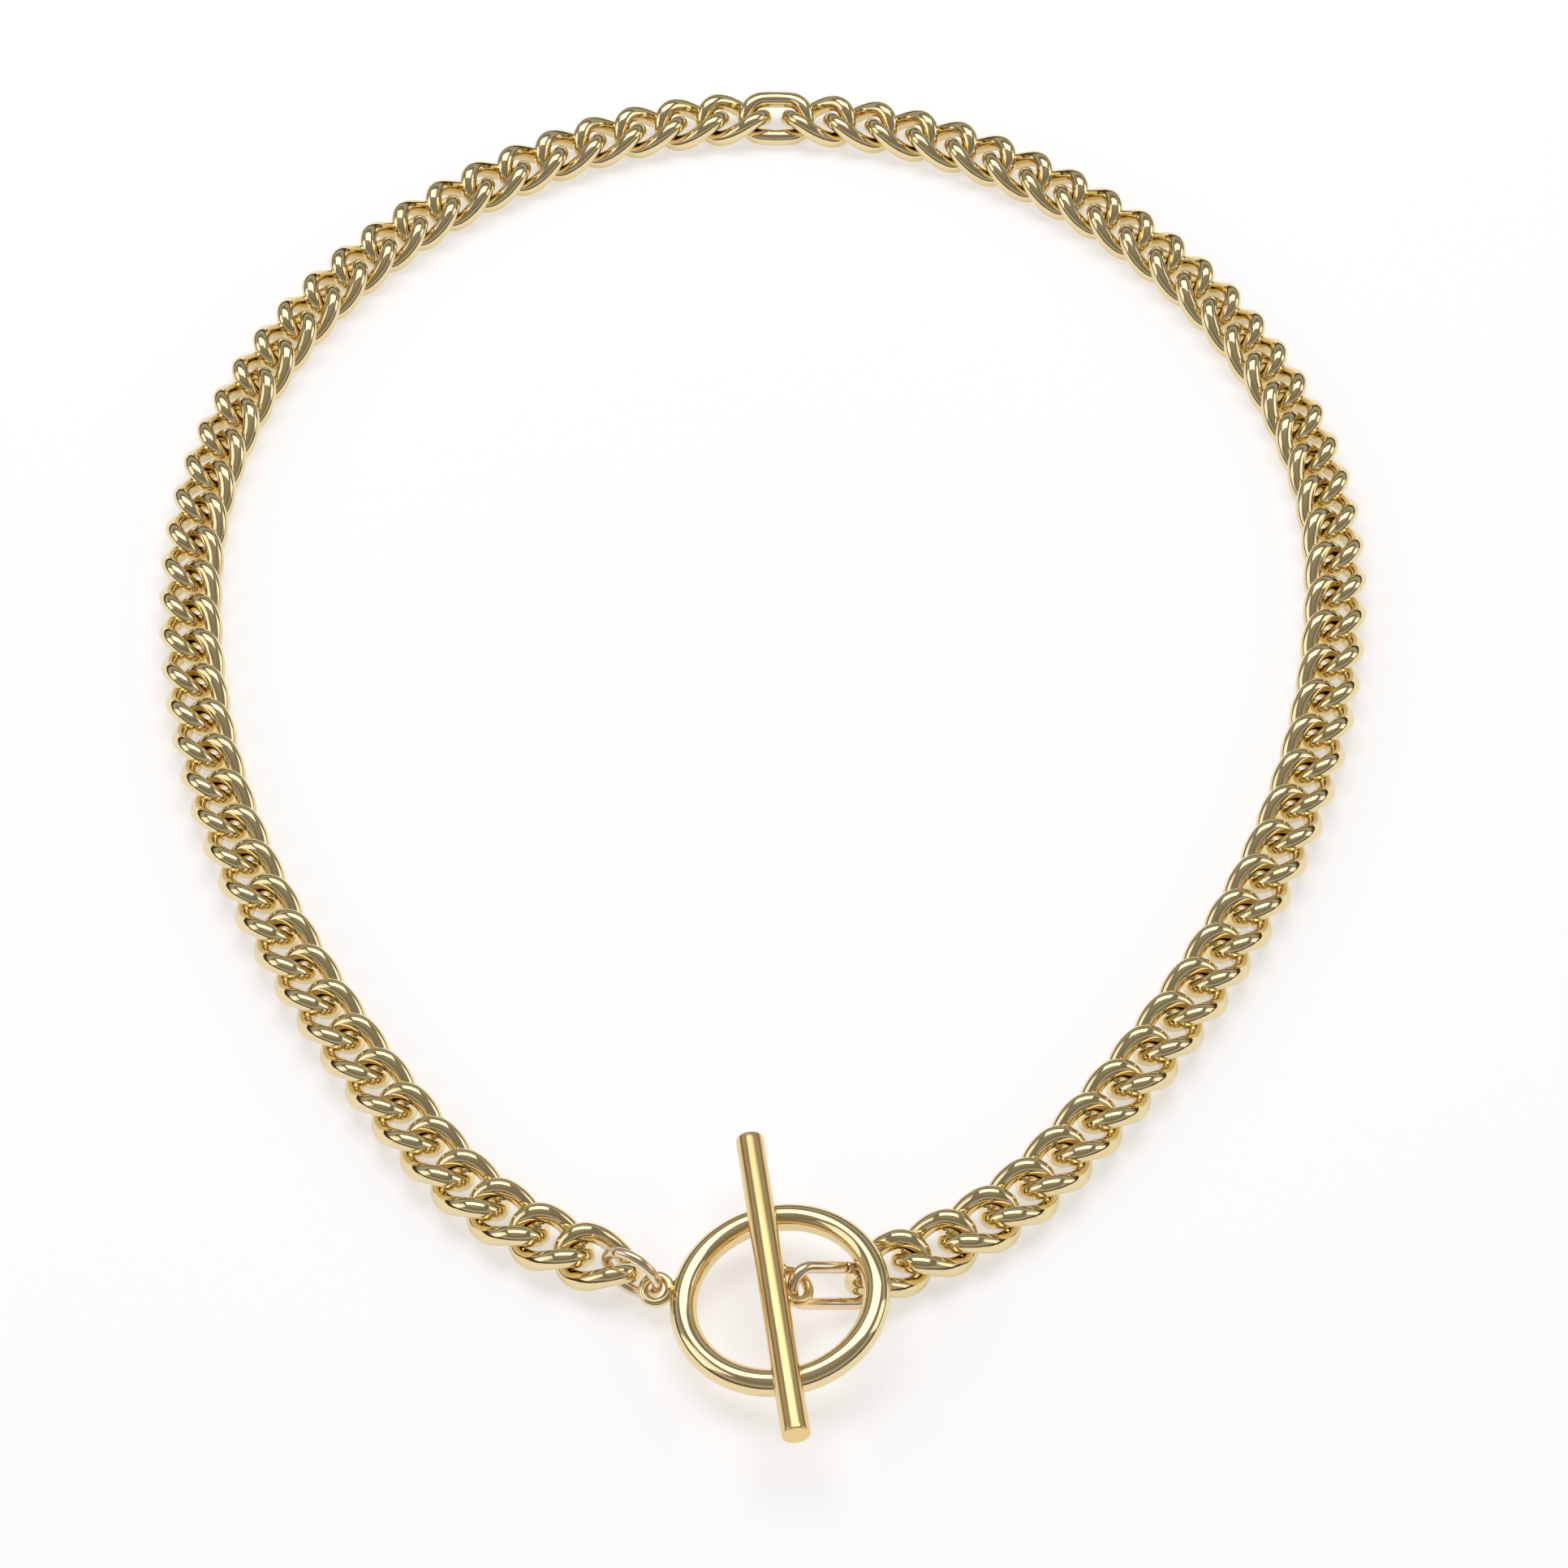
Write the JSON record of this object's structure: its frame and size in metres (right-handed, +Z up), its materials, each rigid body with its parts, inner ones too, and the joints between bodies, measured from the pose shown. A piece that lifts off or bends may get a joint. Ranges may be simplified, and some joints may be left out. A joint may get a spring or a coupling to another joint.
{
  "type": "chain necklace",
  "caption": "Choker of twisted curb links lying closed in a loop, with a toggle ring and bar clasp joined by a round and an oval jump ring.",
  "frame": {"origin": "middle of the footprint, on the plane that the closed necklace lies on", "axes": "+X to the right, +Y from the clasp to the front link, +Z up off the plane that the chain lies on"},
  "size_m": [0.1166, 0.1676, 0.0078],
  "materials": {
    "gold": "high polish",
    "pale_gold": "polish"
  },
  "bodies": {
    "front": {"front_link": "gold"},
    "row_01": {"link_pair_01": "gold"},
    "row_02": {"link_pair_02": "gold"},
    "row_03": {"link_pair_03": "gold"},
    "row_04": {"link_pair_04": "gold"},
    "row_05": {"link_pair_05": "gold"},
    "row_06": {"link_pair_06": "gold"},
    "row_07": {"link_pair_07": "gold"},
    "row_08": {"link_pair_08": "gold"},
    "row_09": {"link_pair_09": "gold"},
    "row_10": {"link_pair_10": "gold"},
    "row_11": {"link_pair_11": "gold"},
    "row_12": {"link_pair_12": "gold"},
    "row_13": {"link_pair_13": "gold"},
    "row_14": {"link_pair_14": "gold"},
    "row_15": {"link_pair_15": "gold"},
    "row_16": {"link_pair_16": "gold"},
    "row_17": {"link_pair_17": "gold"},
    "row_18": {"link_pair_18": "gold"},
    "row_19": {"link_pair_19": "gold"},
    "row_20": {"link_pair_20": "gold"},
    "row_21": {"link_pair_21": "gold"},
    "row_22": {"link_pair_22": "gold"},
    "row_23": {"link_pair_23": "gold"},
    "row_24": {"link_pair_24": "gold"},
    "row_25": {"link_pair_25": "gold"},
    "row_26": {"link_pair_26": "gold"},
    "row_27": {"link_pair_27": "gold"},
    "row_28": {"link_pair_28": "gold"},
    "row_29": {"link_pair_29": "gold"},
    "row_30": {"link_pair_30": "gold"},
    "row_31": {"link_pair_31": "gold"},
    "row_32": {"link_pair_32": "gold"},
    "row_33": {"link_pair_33": "gold"},
    "row_34": {"link_pair_34": "gold"},
    "row_35": {"link_pair_35": "gold"},
    "row_36": {"link_pair_36": "gold"},
    "row_37": {"link_pair_37": "gold"},
    "row_38": {"link_pair_38": "gold"},
    "row_39": {"link_pair_39": "gold"},
    "row_40": {"link_pair_40": "gold"},
    "row_41": {"link_pair_41": "gold"},
    "row_42": {"link_pair_42": "gold"},
    "toggle_ring": {"toggle_ring": "gold"},
    "ring_jump_ring": {"ring_jump_ring": "pale_gold"},
    "bar_jump_ring": {"bar_jump_ring": "pale_gold"},
    "toggle_bar": {"toggle_bar": "gold"}
  },
  "joints": [
    {"name": "toggle_ring_swing", "type": "hinge", "parent": "row_42", "child": "toggle_ring", "pos_m": [-0.00716, -0.06708, 0.00242], "axis": [-0.1436, 0, 0.9896], "range_deg": [-0.5, 6]},
    {"name": "bar_jump_ring_sway", "type": "hinge", "parent": "row_42", "child": "bar_jump_ring", "pos_m": [0.01088, -0.06519, 0.0019], "axis": [-0.1436, 0, 0.9896], "range_deg": [-4, 4]},
    {"name": "toggle_bar_turn", "type": "hinge", "parent": "bar_jump_ring", "child": "toggle_bar", "pos_m": [0.00455, -0.06854, 0.00538], "axis": [-0.1436, 0, 0.9896], "range_deg": [-6, 12]},
    {"name": "ring_jump_ring_spin", "type": "hinge", "parent": "row_42", "child": "ring_jump_ring", "pos_m": [-0.00927, -0.06591, 0.0031], "axis": [-0.4848, -0.8746, 0], "continuous": true},
    {"name": "row_01_bend", "type": "hinge", "parent": "front", "child": "row_01", "pos_m": [0, 0.08093, 0.0019], "axis": [1, 0, 0], "range_deg": [-6, 6]},
    {"name": "row_02_bend", "type": "hinge", "parent": "row_01", "child": "row_02", "pos_m": [0, 0.08049, 0.0019], "axis": [1, 0, 0], "range_deg": [-6, 6]},
    {"name": "row_03_bend", "type": "hinge", "parent": "row_02", "child": "row_03", "pos_m": [0, 0.07959, 0.0019], "axis": [1, 0, 0], "range_deg": [-6, 6]},
    {"name": "row_04_bend", "type": "hinge", "parent": "row_03", "child": "row_04", "pos_m": [0, 0.07827, 0.0019], "axis": [-1, 0, 0], "range_deg": [-6, 6]},
    {"name": "row_05_bend", "type": "hinge", "parent": "row_04", "child": "row_05", "pos_m": [0, 0.07652, 0.0019], "axis": [-1, 0, 0], "range_deg": [-6, 6]},
    {"name": "row_06_bend", "type": "hinge", "parent": "row_05", "child": "row_06", "pos_m": [0, 0.07437, 0.0019], "axis": [-1, 0, 0], "range_deg": [-7, 7]},
    {"name": "row_07_bend", "type": "hinge", "parent": "row_06", "child": "row_07", "pos_m": [0, 0.07195, 0.0019], "axis": [1, 0, 0], "range_deg": [-7, 7]},
    {"name": "row_08_bend", "type": "hinge", "parent": "row_07", "child": "row_08", "pos_m": [0, 0.06927, 0.0019], "axis": [1, 0, 0], "range_deg": [-7, 7]},
    {"name": "row_09_bend", "type": "hinge", "parent": "row_08", "child": "row_09", "pos_m": [0, 0.06634, 0.0019], "axis": [1, 0, 0], "range_deg": [-7, 7]},
    {"name": "row_10_bend", "type": "hinge", "parent": "row_09", "child": "row_10", "pos_m": [0, 0.06319, 0.0019], "axis": [-1, 0, 0], "range_deg": [-7, 7]},
    {"name": "row_11_bend", "type": "hinge", "parent": "row_10", "child": "row_11", "pos_m": [0, 0.05981, 0.0019], "axis": [-1, 0, 0], "range_deg": [-7, 7]},
    {"name": "row_12_bend", "type": "hinge", "parent": "row_11", "child": "row_12", "pos_m": [0, 0.05624, 0.0019], "axis": [-1, 0, 0], "range_deg": [-7, 7]},
    {"name": "row_13_bend", "type": "hinge", "parent": "row_12", "child": "row_13", "pos_m": [0, 0.05249, 0.0019], "axis": [1, 0, 0], "range_deg": [-7, 7]},
    {"name": "row_14_bend", "type": "hinge", "parent": "row_13", "child": "row_14", "pos_m": [0, 0.04857, 0.0019], "axis": [1, 0, 0], "range_deg": [-7, 7]},
    {"name": "row_15_bend", "type": "hinge", "parent": "row_14", "child": "row_15", "pos_m": [0, 0.04451, 0.0019], "axis": [1, 0, 0], "range_deg": [-8, 8]},
    {"name": "row_16_bend", "type": "hinge", "parent": "row_15", "child": "row_16", "pos_m": [0, 0.04032, 0.0019], "axis": [-1, 0, 0], "range_deg": [-8, 8]},
    {"name": "row_17_bend", "type": "hinge", "parent": "row_16", "child": "row_17", "pos_m": [0, 0.03603, 0.0019], "axis": [-1, 0, 0], "range_deg": [-9, 9]},
    {"name": "row_18_bend", "type": "hinge", "parent": "row_17", "child": "row_18", "pos_m": [0, 0.03166, 0.0019], "axis": [-1, 0, 0], "range_deg": [-9, 9]},
    {"name": "row_19_bend", "type": "hinge", "parent": "row_18", "child": "row_19", "pos_m": [0, 0.02722, 0.0019], "axis": [1, 0, 0], "range_deg": [-10, 10]},
    {"name": "row_20_bend", "type": "hinge", "parent": "row_19", "child": "row_20", "pos_m": [0, 0.02274, 0.0019], "axis": [1, 0, 0], "range_deg": [-11, 11]},
    {"name": "row_21_bend", "type": "hinge", "parent": "row_20", "child": "row_21", "pos_m": [0, 0.01824, 0.0019], "axis": [1, 0, 0], "range_deg": [-11, 11]},
    {"name": "row_22_bend", "type": "hinge", "parent": "row_21", "child": "row_22", "pos_m": [0, 0.01375, 0.0019], "axis": [-1, 0, 0], "range_deg": [-11, 11]},
    {"name": "row_23_bend", "type": "hinge", "parent": "row_22", "child": "row_23", "pos_m": [0, 0.00926, 0.0019], "axis": [-1, 0, 0], "range_deg": [-11, 11]},
    {"name": "row_24_bend", "type": "hinge", "parent": "row_23", "child": "row_24", "pos_m": [0, 0.0048, 0.0019], "axis": [-1, 0, 0], "range_deg": [-10, 10]},
    {"name": "row_25_bend", "type": "hinge", "parent": "row_24", "child": "row_25", "pos_m": [0, 0.00037, 0.0019], "axis": [1, 0, 0], "range_deg": [-10, 10]},
    {"name": "row_26_bend", "type": "hinge", "parent": "row_25", "child": "row_26", "pos_m": [0, -0.00403, 0.0019], "axis": [1, 0, 0], "range_deg": [-10, 10]},
    {"name": "row_27_bend", "type": "hinge", "parent": "row_26", "child": "row_27", "pos_m": [0, -0.00838, 0.0019], "axis": [1, 0, 0], "range_deg": [-9, 9]},
    {"name": "row_28_bend", "type": "hinge", "parent": "row_27", "child": "row_28", "pos_m": [0, -0.01267, 0.0019], "axis": [-1, 0, 0], "range_deg": [-9, 9]},
    {"name": "row_29_bend", "type": "hinge", "parent": "row_28", "child": "row_29", "pos_m": [0, -0.0169, 0.0019], "axis": [-1, 0, 0], "range_deg": [-9, 9]},
    {"name": "row_30_bend", "type": "hinge", "parent": "row_29", "child": "row_30", "pos_m": [0, -0.02107, 0.0019], "axis": [-1, 0, 0], "range_deg": [-8, 8]},
    {"name": "row_31_bend", "type": "hinge", "parent": "row_30", "child": "row_31", "pos_m": [0, -0.02515, 0.0019], "axis": [1, 0, 0], "range_deg": [-8, 8]},
    {"name": "row_32_bend", "type": "hinge", "parent": "row_31", "child": "row_32", "pos_m": [0, -0.02915, 0.0019], "axis": [1, 0, 0], "range_deg": [-8, 8]},
    {"name": "row_33_bend", "type": "hinge", "parent": "row_32", "child": "row_33", "pos_m": [0, -0.03309, 0.0019], "axis": [1, 0, 0], "range_deg": [-8, 8]},
    {"name": "row_34_bend", "type": "hinge", "parent": "row_33", "child": "row_34", "pos_m": [0, -0.03697, 0.0019], "axis": [-1, 0, 0], "range_deg": [-8, 8]},
    {"name": "row_35_bend", "type": "hinge", "parent": "row_34", "child": "row_35", "pos_m": [0, -0.04078, 0.0019], "axis": [-1, 0, 0], "range_deg": [-8, 8]},
    {"name": "row_36_bend", "type": "hinge", "parent": "row_35", "child": "row_36", "pos_m": [0, -0.04453, 0.0019], "axis": [-1, 0, 0], "range_deg": [-8, 8]},
    {"name": "row_37_bend", "type": "hinge", "parent": "row_36", "child": "row_37", "pos_m": [0, -0.0482, 0.0019], "axis": [1, 0, 0], "range_deg": [-8, 8]},
    {"name": "row_38_bend", "type": "hinge", "parent": "row_37", "child": "row_38", "pos_m": [0, -0.0518, 0.0019], "axis": [1, 0, 0], "range_deg": [-8, 8]},
    {"name": "row_39_bend", "type": "hinge", "parent": "row_38", "child": "row_39", "pos_m": [0, -0.05533, 0.0019], "axis": [1, 0, 0], "range_deg": [-5, 5]},
    {"name": "row_40_bend", "type": "hinge", "parent": "row_39", "child": "row_40", "pos_m": [0, -0.05843, 0.0019], "axis": [-1, 0, 0], "range_deg": [-5, 5]},
    {"name": "row_41_bend", "type": "hinge", "parent": "row_40", "child": "row_41", "pos_m": [0, -0.06106, 0.0019], "axis": [-1, 0, 0], "range_deg": [-5, 5]},
    {"name": "row_42_bend", "type": "hinge", "parent": "row_41", "child": "row_42", "pos_m": [0, -0.06315, 0.0019], "axis": [-1, 0, 0], "range_deg": [-5, 5]}
  ]
}
